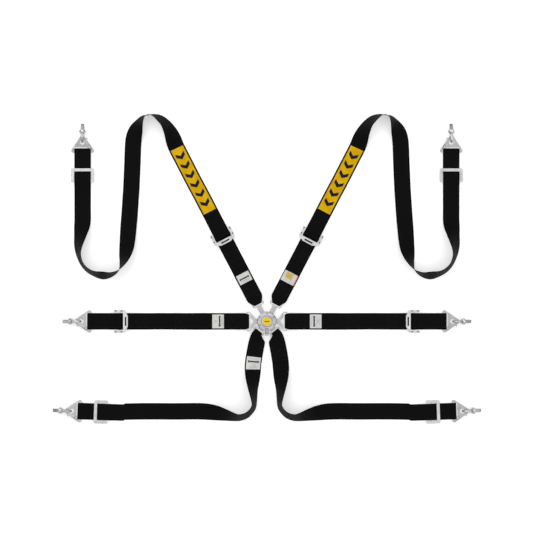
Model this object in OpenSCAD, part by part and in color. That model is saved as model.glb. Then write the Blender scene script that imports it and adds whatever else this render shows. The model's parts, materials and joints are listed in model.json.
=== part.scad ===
// Six-point racing harness, laid out flat as seen from the front.
// Origin: centre of the rotary buckle, on its back face. +Y points to the shoulder straps,
// +X to the right lap strap and +Z out of the buckle's face. Millimetres.

/* [Webbing] */
// Width of all the webbing
web_w = 51; // [48:0.5:51]
// Thickness of one layer of webbing
web_t = 1.3; // [1.0:0.1:1.4]

/* [Buckle] */
// Outer radius of the buckle body
buckle_r = 30.5; // [30:0.5:33]
// Length of the release lever's tail, from the buckle's centre
lever_reach = 45; // [42:1:50]
// How far a tongue comes out when it is released
tongue_travel = 28; // [20:1:30]

/* [Anchors] */
// Radius of the eyebolt shank (7/16 inch thread)
shank_r = 5.56; // [5:0.01:6]
// Length of the eyebolt shank beyond its collar
shank_len = 18.5; // [15:0.5:30]
// Thickness of the snap hook plate
hook_t = 3; // [2.5:0.1:3]

/* [Shoulder patches] */
// Length of the patch sewn to each shoulder strap
patch_len = 223; // [180:1:224]
// Width of the patch
patch_w = 46; // [40:1:47]

/* [Hidden] */
$fn = 48;
LEFT = -1;
RIGHT = 1;
gap = 0.3;                      // room left round a moving or woven piece
lie = web_t / 2 + 0.1;          // height of the centre of a layer that lies on the floor
lie2 = lie + web_t + 0.2;       // the same for a second layer on top of it

// Directions of the straps, and distances from the buckle's centre along them (left side)
shoulder_dir = 117.5;
lap_dir = 180;
crotch_dir = 231;
shoulder_web_end = 58;          // where the webbing ends at each tongue
lap_web_end = 54;
crotch_web_end = 37;
shoulder_bar_at = 297;          // knurled bar of each adjuster
lap_bar_at = 455;
patch_at = 382;                 // lower end of the shoulder patch

// Where the webbing ends at each snap hook, and which way the hook points (left side)
shoulder_hook_at = [-571, 536];
shoulder_hook_dir = 90;
lap_hook_at = [-557, 0];
crotch_hook_at = [-587, -278];
crotch_hook_dir = 178;
shoulder_slide_at = -105;       // start of the three-bar slide, back from the webbing end
crotch_slide_at = -94;

// Shoulder strap from the adjuster's straight run to the slide's: [x, y, roll in degrees]
shoulder_route = [
    [-166, 319, 0], [-222, 426, 0], [-270, 518, 0], [-280, 538, 0], [-284, 547, 3], [-297, 583, 34],
    [-313, 611, 54], [-331, 628, 64], [-351, 638, 80], [-368, 638, 88], [-383, 632, 75],
    [-395, 615, 56], [-407, 588, 24], [-414, 555, 5], [-417, 485, 0], [-421, 400, 0],
    [-428, 308, 4], [-433, 240, 20], [-439, 207, 40], [-447, 180, 66], [-459, 158, 90],
    [-481, 145, 106], [-507, 142, 118], [-535, 148, 109], [-556, 160, 106], [-572, 179, 105],
    [-582, 207, 111], [-583, 235, 125], [-577, 270, 145], [-571, 308, 176], [-571, 350, 180],
    [-571, 378, 180]
];
// Crotch strap from the tongue to its slide: [x, y, roll in degrees]
crotch_route = [
    [-38, -98, 0], [-42, -128, 0], [-43, -165, -22], [-42, -209, -54], [-39, -250, -72],
    [-42, -267, -72], [-52, -281, -70], [-67, -292, -66], [-86, -297, -63], [-104, -295, -56],
    [-134, -288, -38], [-165, -282, -18], [-200, -279, -4], [-260, -279, 0], [-340, -279, 0],
    [-440, -280, 0]
];
// Where the crotch webbing leaves its tongue: [x, y, heading, width]
crotch_fan = [
    [-27.7, -34.2, 231, 27], [-29, -44, 240, 40], [-28.8, -56, 251, 50],
    [-32.4, -70, 256, 51], [-37.8, -98, 261, 51]
];

// Buckle heights
base_top = 12.3;
cover_top = 19;
cavity_top = 17;
cavity_r = 21.5;
tongue_z = 9;                   // underside of the tongues
tongue_t = 3;
tongue_mid = tongue_z + tongue_t / 2;
latch_at = 18;                  // radius of the latch pins' circle
latch_r = 3;
tongue_in = 13.5;               // inner end of the tongues
shaft_r = 5;
cap_r = 17;
t_stem = 15;                    // width of a T-shaped tongue's stem
v_stem = 17;
tongue_stems = [for (t = [[shoulder_dir, t_stem], [lap_dir, v_stem], [crotch_dir, t_stem]])
    each [t, [180 - t[0], t[1]]]];
tongue_dirs = [for (t = tongue_stems) t[0]];
screw_dirs = [31, 90, 149, 206, 334];
lobe_dirs = [31, 90, 149, 206, 270, 334];

// Adjuster
knurl_r = 4.5;
knurl_z = 8.5;
knurl_travel = 2.5;
knurl_wrap = knurl_r + 0.35 + web_t / 2;
fixed_bar_s = -14;
fixed_bar_z = 5.5;
fixed_bar_r = 3;
fixed_wrap = fixed_bar_r + gap + web_t / 2;

// Three-bar slide
slide_len = 43;
slide_w = 72;
slide_z = 4.2;
slide_t = 3;

// Snap hook: the plate leans so that the eye of the bolt clears the floor
hook_tilt = 16;
hook_origin = -7.5;             // bar of the hook, back from the webbing end
hook_z = 5;
hook_wrap = hook_t / 2 + 0.5 + web_t / 2;
hook_hole = [18, 35];           // ends of the hole, along the plate
eye_s = 31.9;                   // centre of the eye, from the webbing end
eye_R = 11.5;
eye_r = 4.2;
eye_z = eye_R + eye_r + 0.25;
eye_droop = 13;                 // the bolt hangs until its collar meets the floor
pivot = [12.5, 21];             // gate rivet, on the plate
gate_tip = [36, 8.5];
gate_t = 1.5;
gate_z = hook_t / 2 + 0.15;
rivet_r = 2.5;

// ---------------------------------------------------------------- webbing

function unit(v) = v / norm(v);
function heading_side(h) = [-sin(h), cos(h), 0];

// A station of a strap is [centre, direction of its width, width].
// Stations in the upright plane that starts at origin and runs along heading h; each q is
// [distance, height] or [distance, height, width]
function run(origin, h, list, turn = 1) = [for (q = list)
    [[origin[0] + q[0] * cos(h), origin[1] + q[0] * sin(h), q[1]],
     turn * heading_side(h), len(q) > 2 ? q[2] : web_w]];

// Points of an arc in that plane, round [s, z]
function arc(s, z, r, from, to, steps = 6, width = undef) = [for (i = [0:steps])
    let (a = from + (to - from) * i / steps)
    is_undef(width) ? [s + r * cos(a), z + r * sin(a)] : [s + r * cos(a), z + r * sin(a), width]];

function catmull(a, b, c, d, t) = 0.5 * (2 * b + (c - a) * t + (2 * a - 5 * b + 4 * c - d) * t * t
    + (3 * b - a - 3 * c + d) * t * t * t);

// A smooth curve through the rows of a route, steps samples to each stretch
function smooth(route, steps = 2) = let (n = len(route)) [
    for (i = [0:n - 2], j = [0:steps - 1])
        catmull(route[max(i - 1, 0)], route[i], route[i + 1], route[min(i + 2, n - 1)], j / steps),
    route[n - 1]];

// Height of the centre of a rolled layer whose lower edge rests on the floor
function rolled_height(roll) = web_w / 2 * abs(sin(roll)) + web_t / 2 * abs(cos(roll)) + 0.1;

function route_stations(route) = let (path = smooth(route), n = len(path)) [for (i = [0:n - 1])
    let (p = path[i], way = path[min(i + 1, n - 1)] - path[max(i - 1, 0)],
         side = unit([-way[1], way[0], 0]))
    [[p[0], p[1], rolled_height(p[2])], cos(p[2]) * side + [0, 0, sin(p[2])], web_w]];

function station_way(list, i) =
    unit(list[min(i + 1, len(list) - 1)][0] - list[max(i - 1, 0)][0]);

function station_ring(list, i) =
    let (p = list[i][0],
         w = list[i][1] * list[i][2] / 2,
         n = unit(cross(station_way(list, i), list[i][1])) * web_t / 2)
    [p - w - n, p + w - n, p + w + n, p - w + n];

// One layer of webbing through the stations. Both broad faces are split along the same
// diagonal, so that a twisted stretch keeps its thickness.
module webbing(list) {
    last = len(list) - 1;
    points = [for (i = [0:last]) each station_ring(list, i)];
    sides = [for (i = [0:last - 1], j = [0:3])
        let (k = (j + 1) % 4, a = 4 * i, b = 4 * i + 4)
        each j == 0
            ? [[a + j, b + j, b + k], [a + j, b + k, a + k]]
            : [[a + j, b + j, a + k], [b + j, b + k, a + k]]];
    ends = [[0, 1, 2], [0, 2, 3], [4 * last + 3, 4 * last + 2, 4 * last + 1],
            [4 * last + 3, 4 * last + 1, 4 * last]];
    polyhedron(points = points, faces = concat(sides, ends));
}

// The left side is modelled, and the right side is its mirror image
module sided(side) {
    if (side == LEFT)
        children();
    else
        mirror([1, 0, 0])
            children();
}

module placed(at, dir) {
    translate([at[0], at[1], 0])
        rotate([0, 0, dir])
            children();
}

module on_hook(at, dir) {
    placed(at, dir)
        translate([hook_origin, 0, hook_z])
            rotate([0, -hook_tilt, 0])
                children();
}

function along(dir, r) = [r * cos(dir), r * sin(dir)];

// Webbing round the buckle end of a strap: a sewn tail on top, round the tongue's bar and back
// underneath. Distances from the buckle's centre
function tongue_loop(end, tail, w_end) = concat(
    [[tail, lie2], [end + 60, lie2 + 0.1], [end + 32, 7.4], [end + 22, 10.6],
     [end + 12, tongue_mid + 2.65, min(w_end + 13, web_w)]],
    arc(end + 4.1, tongue_mid, 2.65, 90, 270, 6, w_end),
    [[end + 12, tongue_mid - 2.65, min(w_end + 13, web_w)],
     [end + 22, 5.4], [end + 32, 3.2], [end + 55, lie]]);

// Webbing into the fixed bar of an adjuster whose knurled bar is at distance bar
function fixed_loop(bar) = concat(
    [[bar - 90, lie], [bar - 70, lie2], [bar - 48, 2.9], [bar - 24, 8]],
    arc(bar + fixed_bar_s, fixed_bar_z, fixed_wrap, 90, -90),
    [[bar - 24, 1.2], [bar - 34, lie], [bar - 62, lie]]);

// Webbing out of an adjuster, round its knurled bar
function knurl_loop(bar) = concat(
    [[bar + 36, lie], [bar + 18, 1.6], [bar + 6, knurl_z - knurl_wrap]],
    arc(bar, knurl_z, knurl_wrap, 270, 90, 8),
    [[bar + 4.5, knurl_z + knurl_wrap - 0.1], [bar + 17, 6.6], [bar + 30, 3.5], [bar + 42, 2.4]]);

// Through a three-bar slide that starts at s0, on the way to the hook and on the way back
function slide_out(s0) = [for (q = [[-48, lie], [-20, 2.6], [-6, 6.6], [-1, 8], [9, 8.1],
    [14, 9], [18, 10.4], [24.5, 10.5], [27.2, 9], [29.6, 5], [32.4, 3.3], [36, 3.2], [43, 3.2]])
    [s0 + q[0], q[1]]];
function slide_back(s0) = [for (q = [[43, 1], [32, 1], [29, 3], [26.6, 6.4], [24.2, 8.1],
    [17, 8.1], [14.4, 6.6], [12, 3.6], [9.4, 2.5], [4, 2.4], [-11, 1.7]]) [s0 + q[0], q[1]]];

// A point of the leaning hook plate: u along it and v out of it
function on_plate(u, v) = [hook_origin + u * cos(hook_tilt) - v * sin(hook_tilt),
    hook_z + u * sin(hook_tilt) + v * cos(hook_tilt)];
function hook_loop() = concat([on_plate(-9, hook_wrap)],
    [for (a = [90:-30:-90]) on_plate(4.2 + hook_wrap * cos(a), hook_wrap * sin(a))],
    [on_plate(-4, -hook_wrap), [-14.5, lie + 0.05]]);

function shoulder_stations() = concat(
    run([0, 0], shoulder_dir, knurl_loop(shoulder_bar_at)),
    route_stations(shoulder_route),
    run(shoulder_hook_at, shoulder_hook_dir,
        concat(slide_out(shoulder_slide_at), hook_loop(), slide_back(shoulder_slide_at)), -1));

function lap_anchor_stations() = let (h = -lap_hook_at[0]) run([0, 0], lap_dir, concat(
    knurl_loop(lap_bar_at),
    [for (q = concat([[-40, 2.7]], hook_loop(), [[-50, lie]])) [q[0] + h, q[1]]]));

function fan_stations(z_list, list) = [for (i = [0:len(list) - 1])
    [[list[i][0], list[i][1], z_list[i]], heading_side(list[i][2]), list[i][3]]];

function crotch_stations() = let (fan = crotch_fan, n = len(fan) - 1) concat(
    [[[-42, -126, 3.4], heading_side(266), web_w]],
    fan_stations([for (i = [0:n]) [3.9, 6.4, 9.5, 12, tongue_mid + 2.65][i]],
                 [for (i = [n:-1:0]) fan[i]]),
    run([0, 0], crotch_dir, arc(crotch_web_end + 4.1, tongue_mid, 2.65, 90, 270, 6, 27)),
    fan_stations([tongue_mid - 2.65, 6.2, 3.8, 1.8], [for (i = [0:3]) fan[i]]),
    route_stations(crotch_route),
    run(crotch_hook_at, crotch_hook_dir,
        concat(slide_out(crotch_slide_at), hook_loop(), slide_back(crotch_slide_at))));

module chest_strap(side) {
    color("#17171a")
        sided(side)
            webbing(run([0, 0], shoulder_dir,
                concat(tongue_loop(shoulder_web_end, 174, 27), fixed_loop(shoulder_bar_at))));
}

module lap_strap(side) {
    color("#17171a")
        sided(side)
            webbing(run([0, 0], lap_dir,
                concat(tongue_loop(lap_web_end, 291, 44), fixed_loop(lap_bar_at))));
}

module shoulder_strap(side) {
    color("#17171a")
        sided(side)
            webbing(shoulder_stations());
}

module lap_anchor_strap(side) {
    color("#17171a")
        sided(side)
            webbing(lap_anchor_stations());
}

module crotch_strap(side) {
    color("#17171a")
        sided(side)
            webbing(crotch_stations());
}

module shoulder_patch(side) {
    patch_t = 0.8;
    color("#f0b400")
        sided(side)
            placed([0, 0], shoulder_dir)
                translate([patch_at, -patch_w / 2, lie + web_t / 2 + 0.15])
                    cube([patch_len, patch_w, patch_t]);
}

// ---------------------------------------------------------------- buckle

module ring_of(dirs, r) {
    for (a = dirs)
        rotate([0, 0, a])
            translate([r, 0, 0])
                children();
}

module buckle_base() {
    color("#b9babd")
        difference() {
            union() {
                cylinder(r1 = buckle_r - 1.5, r2 = buckle_r, h = 1.5);
                translate([0, 0, 1.5])
                    cylinder(r = buckle_r, h = base_top - 1.5);
            }
            for (t = tongue_stems)
                rotate([0, 0, t[0]])
                    translate([tongue_in - 0.7, -t[1] / 2 - 0.4, tongue_z - gap])
                        cube([buckle_r, t[1] + 0.8, base_top]);
            translate([0, 0, 2])
                cylinder(r = shaft_r + 0.05, h = base_top);
            ring_of(screw_dirs, 25)
                translate([0, 0, 3])
                    cylinder(r = 1.5, h = base_top);
        }
}

module buckle_cover() {
    color("#c3c4c7")
        difference() {
            union() {
                translate([0, 0, base_top])
                    cylinder(r = buckle_r, h = cover_top - 2 - base_top);
                translate([0, 0, cover_top - 2])
                    cylinder(r1 = buckle_r, r2 = buckle_r - 3, h = 2);
            }
            translate([0, 0, base_top - 1])
                cylinder(r = cavity_r, h = cavity_top - base_top + 1);
            cylinder(r = shaft_r + 0.05, h = 30);
            ring_of(screw_dirs, 25) {
                cylinder(r = 1.5, h = 30);
                translate([0, 0, cover_top - 1.6])
                    cylinder(r = 2.7, h = 5);
            }
        }
}

module cover_screws() {
    color("#8d8f94")
        ring_of(screw_dirs, 25)
            difference() {
                union() {
                    translate([0, 0, 3.2])
                        cylinder(r = 1.48, h = cover_top - 1.6 - 3.2);
                    translate([0, 0, cover_top - 1.6])
                        cylinder(r = 2.6, h = 1.4);
                }
                translate([0, 0, cover_top - 1.2])
                    cylinder(r = 1.2, h = 2, $fn = 6);
            }
}

// Sprung steel star: one finger with a latch pin for each tongue
module latch_spring_plate() {
    color("#9aa0a8")
        difference() {
            union() {
                translate([0, 0, 14.3])
                    cylinder(r = 10.5, h = 1);
                for (a = tongue_dirs)
                    rotate([0, 0, a]) {
                        translate([8, -3, 14.3])
                            cube([latch_at - 8, 6, 1]);
                        translate([latch_at, 0, tongue_z + 0.3])
                            cylinder(r = latch_r, h = 15.3 - tongue_z - 0.3);
                    }
            }
            cylinder(r = shaft_r + 1, h = 30);
        }
}

module return_spring() {
    color("#6f757d")
        translate([0, 0, 16.2])
            rotate([0, 0, 15])
                rotate_extrude(angle = 320)
                    translate([9, 0])
                        circle(r = 0.6);
}

// Shaft and cam disc: its lobes lift the fingers when the lever turns
module release_cam() {
    color("#85898f") {
        translate([0, 0, 2.3])
            cylinder(r = shaft_r, h = cover_top + 1 - 2.3);
        translate([0, 0, base_top + 0.2])
            cylinder(r = 13.2, h = 1.3);
        ring_of(lobe_dirs, 12)
            translate([0, 0, base_top + 0.2])
                cylinder(r = 1.1, h = 2.9);
    }
}

module turn_lever() {
    lever_z = cover_top + 0.4;
    color("#d3d4d6")
        difference() {
            union() {
                translate([0, 0, lever_z])
                    cylinder(r = cap_r, h = 3.2);
                translate([0, 0, lever_z + 3.2])
                    cylinder(r1 = cap_r, r2 = cap_r - 1.6, h = 1.2);
                translate([0, 0, lever_z])
                    linear_extrude(height = 2.8)
                        polygon([[-8.5, -10], [8.5, -10], [7, -lever_reach + 2],
                                 [5, -lever_reach], [-5, -lever_reach], [-7, -lever_reach + 2]]);
            }
            translate([0, 0, -1])
                cylinder(r = shaft_r, h = cover_top + 2);
            translate([-4, -lever_reach + 6.5, 0])
                cube([8, 17, 40]);
            translate([0, 0, lever_z + 3.4])
                cylinder(r = 12.7, h = 5);
        }
}

module center_badge() {
    color("#ffd200")
        translate([0, 0, cover_top + 0.4 + 3.4])
            cylinder(r = 12.5, h = 1.2);
}

// ---------------------------------------------------------------- tongues

module tongue_stem(stem_w, to) {
    linear_extrude(height = tongue_t)
        polygon([[tongue_in, -5], [tongue_in + 1.5, -5.5], [28, -stem_w / 2], [to, -stem_w / 2],
                 [to, stem_w / 2], [28, stem_w / 2], [tongue_in + 1.5, 5.5], [tongue_in, 5]]);
}

module tongue_hole() {
    translate([latch_at, 0, -1])
        cylinder(r = latch_r + gap, h = tongue_t + 2);
}

// A narrow tongue with a T-shaped head that carries tapered webbing
module t_tongue(end) {
    slot_w = 30;
    translate([0, 0, tongue_z])
        difference() {
            union() {
                tongue_stem(t_stem, end - 2);
                linear_extrude(height = tongue_t)
                    polygon([[end - 6, -7.5], [end - 3.6, -13.5], [end - 4.6, -18], [end + 1, -19.5],
                             [end + 9.3, -18], [end + 9.3, 18], [end + 1, 19.5],
                             [end - 4.6, 18], [end - 3.6, 13.5], [end - 6, 7.5]]);
            }
            translate([end - 2.5, -slot_w / 2, -1])
                cube([5.8, slot_w, tongue_t + 2]);
            tongue_hole();
        }
}

// A wide V-shaped tongue that carries full-width webbing
module v_tongue(end) {
    translate([0, 0, tongue_z])
        difference() {
            union() {
                tongue_stem(v_stem, 40);
                linear_extrude(height = tongue_t)
                    polygon([[34, -8.5], [36, -8.5], [47, -24], [51, -29], [56, -30.5], [63.3, -29],
                             [63.3, 29], [56, 30.5], [51, 29], [47, 24], [36, 8.5], [34, 8.5]]);
            }
            linear_extrude(height = 20, center = true)
                polygon([[42, -1], [51, -12], [51.5, -26.5], [end + 3.3, -26.5],
                         [end + 3.3, 26.5], [51.5, 26.5], [51, 12], [42, 1]]);
            tongue_hole();
        }
}

module shoulder_tongue(side) {
    color("#c4c5c8")
        sided(side)
            placed([0, 0], shoulder_dir)
                t_tongue(shoulder_web_end);
}

module crotch_tongue(side) {
    color("#c4c5c8")
        sided(side)
            placed([0, 0], crotch_dir)
                t_tongue(crotch_web_end);
}

module lap_tongue(side) {
    color("#c4c5c8")
        sided(side)
            placed([0, 0], lap_dir)
                v_tongue(lap_web_end);
}

// ---------------------------------------------------------------- adjusters and slides

// Origin on the floor under the knurled bar, +X away from the buckle
module adjuster_frame() {
    cheek_in = 27;
    cheek_out = 29;
    color("#cfd0d2")
        difference() {
            union() {
                for (m = [0, 1])
                    mirror([0, m, 0]) {
                        translate([-18, cheek_in, 1.5])
                            cube([36, cheek_out - cheek_in, 11.5]);
                        translate([-18, cheek_out, 11])
                            linear_extrude(height = 2)
                                polygon([[0, 0], [2, 6], [32, 6], [37.5, 7.5], [36, 3], [36, 0]]);
                    }
                translate([0, 0, 11])
                    linear_extrude(height = 2)
                        polygon([[-10, -cheek_out], [-18, -cheek_out], [-24.5, -16.5],
                                 [-24.5, 16.5], [-18, cheek_out], [-10, cheek_out]]);
                translate([fixed_bar_s, cheek_in, fixed_bar_z])
                    rotate([90, 0, 0])
                        cylinder(r = fixed_bar_r, h = 2 * cheek_in);
            }
            translate([-20, -14, 0])
                cube([4.8, 28, 40]);
            for (x = [0, knurl_travel])
                translate([x, 0, knurl_z])
                    rotate([90, 0, 0])
                        cylinder(r = 2.55, h = 80, center = true);
            translate([0, -40, knurl_z - 2.55])
                cube([knurl_travel, 80, 5.1]);
        }
}

module adjuster_bar() {
    color("#a9abae") {
        translate([0, 0, knurl_z])
            rotate([90, 0, 0]) {
                cylinder(r = knurl_r, h = 53, center = true);
                cylinder(r = 2.5, h = 64, center = true);
            }
    }
}

module shoulder_adjuster(side) {
    sided(side)
        placed(along(shoulder_dir, shoulder_bar_at), shoulder_dir)
            adjuster_frame();
}

module shoulder_adjuster_bar(side) {
    sided(side)
        placed(along(shoulder_dir, shoulder_bar_at), shoulder_dir)
            adjuster_bar();
}

module lap_adjuster(side) {
    sided(side)
        placed(along(lap_dir, lap_bar_at), lap_dir)
            adjuster_frame();
}

module lap_adjuster_bar(side) {
    sided(side)
        placed(along(lap_dir, lap_bar_at), lap_dir)
            adjuster_bar();
}

// Origin at the slide's buckle-side edge
module three_bar_slide() {
    window = 54;
    corner = 4;
    color("#cfd0d2")
        translate([0, 0, slide_z])
            linear_extrude(height = slide_t)
                difference() {
                    hull()
                        for (x = [corner, slide_len - corner], y = [-1, 1])
                            translate([x, y * (slide_w / 2 - corner)])
                                circle(r = corner, $fn = 32);
                    translate([9, -window / 2])
                        square([8, window]);
                    translate([24, -window / 2])
                        square([9, window]);
                }
}

module shoulder_slide(side) {
    sided(side)
        placed(shoulder_hook_at, shoulder_hook_dir)
            translate([shoulder_slide_at, 0, 0])
                three_bar_slide();
}

module crotch_slide(side) {
    sided(side)
        placed(crotch_hook_at, crotch_hook_dir)
            translate([crotch_slide_at, 0, 0])
                three_bar_slide();
}

// ---------------------------------------------------------------- snap hooks

// Hook plate with its riveted gate pivot; hand says which side the gate is on
module hook_plate(hand) {
    hole_r = 6.5;
    color("#bcbdc0") {
        difference() {
            translate([0, 0, -hook_t / 2])
                linear_extrude(height = hook_t)
                    hull() {
                        translate([0, -29]) circle(r = 6, $fn = 32);
                        translate([0, 29]) circle(r = 6, $fn = 32);
                        translate([38.5, 0]) circle(r = 9, $fn = 32);
                    }
            translate([4.9, -26.5, -5])
                cube([6.6, 53, 10]);
            for (u = [hook_hole[0] + hole_r, hook_hole[1] - hole_r])
                translate([u, 0, 0])
                    cylinder(r = hole_r, h = 10, center = true);
            translate([hook_hole[0] + hole_r, -hole_r, -5])
                cube([hook_hole[1] - hook_hole[0] - 2 * hole_r, 2 * hole_r, 10]);
            translate([hook_hole[1] - hole_r - 1, 0, -5])
                rotate([0, 0, hand * 58])
                    translate([0, -4.8, 0])
                        cube([30, 9.6, 10]);
        }
        translate([pivot[0], hand * pivot[1], 0])
            cylinder(r = rivet_r, h = gate_z + gate_t + 0.3);
        translate([pivot[0], hand * pivot[1], gate_z + gate_t + 0.15])
            cylinder(r = rivet_r + 1.3, h = 1);
    }
}

// Gate with a thumb tab, lying on the hook plate across its throat
module hook_gate(hand) {
    p = [pivot[0], hand * pivot[1]];
    tip = [gate_tip[0], hand * gate_tip[1]];
    color("#d6d7d9")
        translate([0, 0, gate_z])
            difference() {
                linear_extrude(height = gate_t)
                    union() {
                        hull() {
                            translate(p) circle(r = 4.3, $fn = 32);
                            translate(tip) circle(r = 4.3, $fn = 32);
                        }
                        translate(tip)
                            rotate(hand * 62)
                                translate([0, -2])
                                    square([8, 4]);
                    }
                translate([p[0], p[1], -1])
                    cylinder(r = rivet_r + 0.05, h = 5);
            }
}

// Eyebolt threaded through the hook's hole; +X is out along the shank
module eyebolt() {
    color("#a3a4a6")
        translate([eye_s, 0, eye_z])
            rotate([0, eye_droop, 0]) {
                rotate([90, 0, 0])
                    rotate_extrude()
                        translate([eye_R, 0])
                            circle(r = eye_r);
                translate([eye_R, 0, 0])
                    rotate([0, 90, 0])
                        cylinder(r = 6.5, h = 6);
                translate([14, 0, 0])
                    rotate([0, 90, 0])
                        rotate_extrude()
                            polygon([[0, 0], [7, 0], [10.3, 4], [10.3, 9], [7, 12.5], [0, 12.5]]);
                translate([26, 0, 0])
                    rotate([0, 90, 0])
                        cylinder(r = shank_r, h = shank_len);
            }
}

module shoulder_hook(side) {
    sided(side) on_hook(shoulder_hook_at, shoulder_hook_dir) hook_plate(-1);
}
module shoulder_gate(side) {
    sided(side) on_hook(shoulder_hook_at, shoulder_hook_dir) hook_gate(-1);
}
module shoulder_eyebolt(side) {
    sided(side) placed(shoulder_hook_at, shoulder_hook_dir) eyebolt();
}
module lap_hook(side) {
    sided(side) on_hook(lap_hook_at, lap_dir) hook_plate(1);
}
module lap_gate(side) {
    sided(side) on_hook(lap_hook_at, lap_dir) hook_gate(1);
}
module lap_eyebolt(side) {
    sided(side) placed(lap_hook_at, lap_dir) eyebolt();
}
module crotch_hook(side) {
    sided(side) on_hook(crotch_hook_at, crotch_hook_dir) hook_plate(1);
}
module crotch_gate(side) {
    sided(side) on_hook(crotch_hook_at, crotch_hook_dir) hook_gate(1);
}
module crotch_eyebolt(side) {
    sided(side) placed(crotch_hook_at, crotch_hook_dir) eyebolt();
}

buckle_base();
buckle_cover();
cover_screws();
latch_spring_plate();
return_spring();
release_cam();
turn_lever();
center_badge();
shoulder_tongue(LEFT);  // shoulder_tongue_left
shoulder_tongue(RIGHT);  // shoulder_tongue_right
lap_tongue(LEFT);  // lap_tongue_left
lap_tongue(RIGHT);  // lap_tongue_right
crotch_tongue(LEFT);  // crotch_tongue_left
crotch_tongue(RIGHT);  // crotch_tongue_right
chest_strap(LEFT);  // chest_strap_left
chest_strap(RIGHT);  // chest_strap_right
shoulder_adjuster(LEFT);  // shoulder_adjuster_left
shoulder_adjuster(RIGHT);  // shoulder_adjuster_right
shoulder_adjuster_bar(LEFT);  // shoulder_adjuster_bar_left
shoulder_adjuster_bar(RIGHT);  // shoulder_adjuster_bar_right
shoulder_strap(LEFT);  // shoulder_strap_left
shoulder_strap(RIGHT);  // shoulder_strap_right
shoulder_patch(LEFT);  // shoulder_patch_left
shoulder_patch(RIGHT);  // shoulder_patch_right
shoulder_slide(LEFT);  // shoulder_slide_left
shoulder_slide(RIGHT);  // shoulder_slide_right
shoulder_hook(LEFT);  // shoulder_hook_left
shoulder_hook(RIGHT);  // shoulder_hook_right
shoulder_gate(LEFT);  // shoulder_gate_left
shoulder_gate(RIGHT);  // shoulder_gate_right
shoulder_eyebolt(LEFT);  // shoulder_eyebolt_left
shoulder_eyebolt(RIGHT);  // shoulder_eyebolt_right
lap_strap(LEFT);  // lap_strap_left
lap_strap(RIGHT);  // lap_strap_right
lap_adjuster(LEFT);  // lap_adjuster_left
lap_adjuster(RIGHT);  // lap_adjuster_right
lap_adjuster_bar(LEFT);  // lap_adjuster_bar_left
lap_adjuster_bar(RIGHT);  // lap_adjuster_bar_right
lap_anchor_strap(LEFT);  // lap_anchor_strap_left
lap_anchor_strap(RIGHT);  // lap_anchor_strap_right
lap_hook(LEFT);  // lap_hook_left
lap_hook(RIGHT);  // lap_hook_right
lap_gate(LEFT);  // lap_gate_left
lap_gate(RIGHT);  // lap_gate_right
lap_eyebolt(LEFT);  // lap_eyebolt_left
lap_eyebolt(RIGHT);  // lap_eyebolt_right
crotch_strap(LEFT);  // crotch_strap_left
crotch_strap(RIGHT);  // crotch_strap_right
crotch_slide(LEFT);  // crotch_slide_left
crotch_slide(RIGHT);  // crotch_slide_right
crotch_hook(LEFT);  // crotch_hook_left
crotch_hook(RIGHT);  // crotch_hook_right
crotch_gate(LEFT);  // crotch_gate_left
crotch_gate(RIGHT);  // crotch_gate_right
crotch_eyebolt(LEFT);  // crotch_eyebolt_left
crotch_eyebolt(RIGHT);  // crotch_eyebolt_right
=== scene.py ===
import json
import math

import bmesh
import bpy
from mathutils import Matrix, Vector, noise


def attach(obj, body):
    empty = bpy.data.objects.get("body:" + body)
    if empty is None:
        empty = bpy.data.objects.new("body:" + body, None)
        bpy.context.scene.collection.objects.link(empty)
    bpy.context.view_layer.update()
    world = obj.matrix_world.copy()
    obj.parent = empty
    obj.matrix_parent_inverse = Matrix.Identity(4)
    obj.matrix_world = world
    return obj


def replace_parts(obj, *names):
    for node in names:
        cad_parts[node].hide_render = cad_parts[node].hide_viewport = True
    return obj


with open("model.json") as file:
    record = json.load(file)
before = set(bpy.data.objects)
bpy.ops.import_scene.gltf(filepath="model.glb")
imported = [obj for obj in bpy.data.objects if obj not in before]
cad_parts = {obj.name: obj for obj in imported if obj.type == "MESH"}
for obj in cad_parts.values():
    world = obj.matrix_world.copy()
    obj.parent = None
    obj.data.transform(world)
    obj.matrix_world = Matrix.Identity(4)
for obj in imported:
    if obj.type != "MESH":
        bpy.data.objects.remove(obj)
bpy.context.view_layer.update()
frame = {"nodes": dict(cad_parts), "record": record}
NODES = frame["nodes"]
MM = 0.001
SIDES = ("left", "right")

# ------------------------------------------------------------------ driving sizes, millimetres
# Webbing: width, thickness, and the middle of one and of two layers on the ground
WEB_W, WEB_T = 51.0, 1.3
LIE = WEB_T / 2 + 0.1
LIE2 = LIE + WEB_T + 0.2

# Left side: headings from the buckle, and how far out the tongues' bars and the adjusters are
SHOULDER_DIR, LAP_DIR, CROTCH_DIR = 117.5, 180.0, 231.0
SHOULDER_END, LAP_END, CROTCH_END = 58.0, 54.0, 37.0
SHOULDER_BAR, LAP_BAR = 297.0, 455.0
PATCH_AT, PATCH_LEN, PATCH_W = 382.0, 223.0, 46.0
# Hooks: place and heading. Slides: place along the hook's heading
SHOULDER_HOOK = ((-571.0, 536.0), 90.0)
LAP_HOOK = ((-557.0, 0.0), 180.0)
CROTCH_HOOK = ((-587.0, -278.0), 178.0)
SHOULDER_SLIDE, CROTCH_SLIDE = -105.0, -94.0

# Radii and heights of what the webbing turns round: tongue, knurled bar, fixed bar, hook plate
TONGUE_MID, LOOP_R = 10.5, 2.65
KNURL_R, KNURL_Z = 4.5, 8.5
KNURL_WRAP = KNURL_R + 0.35 + WEB_T / 2
FIXED_S, FIXED_Z, FIXED_WRAP = -14.0, 5.5, 3.95
HOOK_TILT, HOOK_ORIGIN, HOOK_Z, HOOK_T = 16.0, -7.5, 5.0, 3.0
HOOK_WRAP = HOOK_T / 2 + 0.5 + WEB_T / 2

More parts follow.
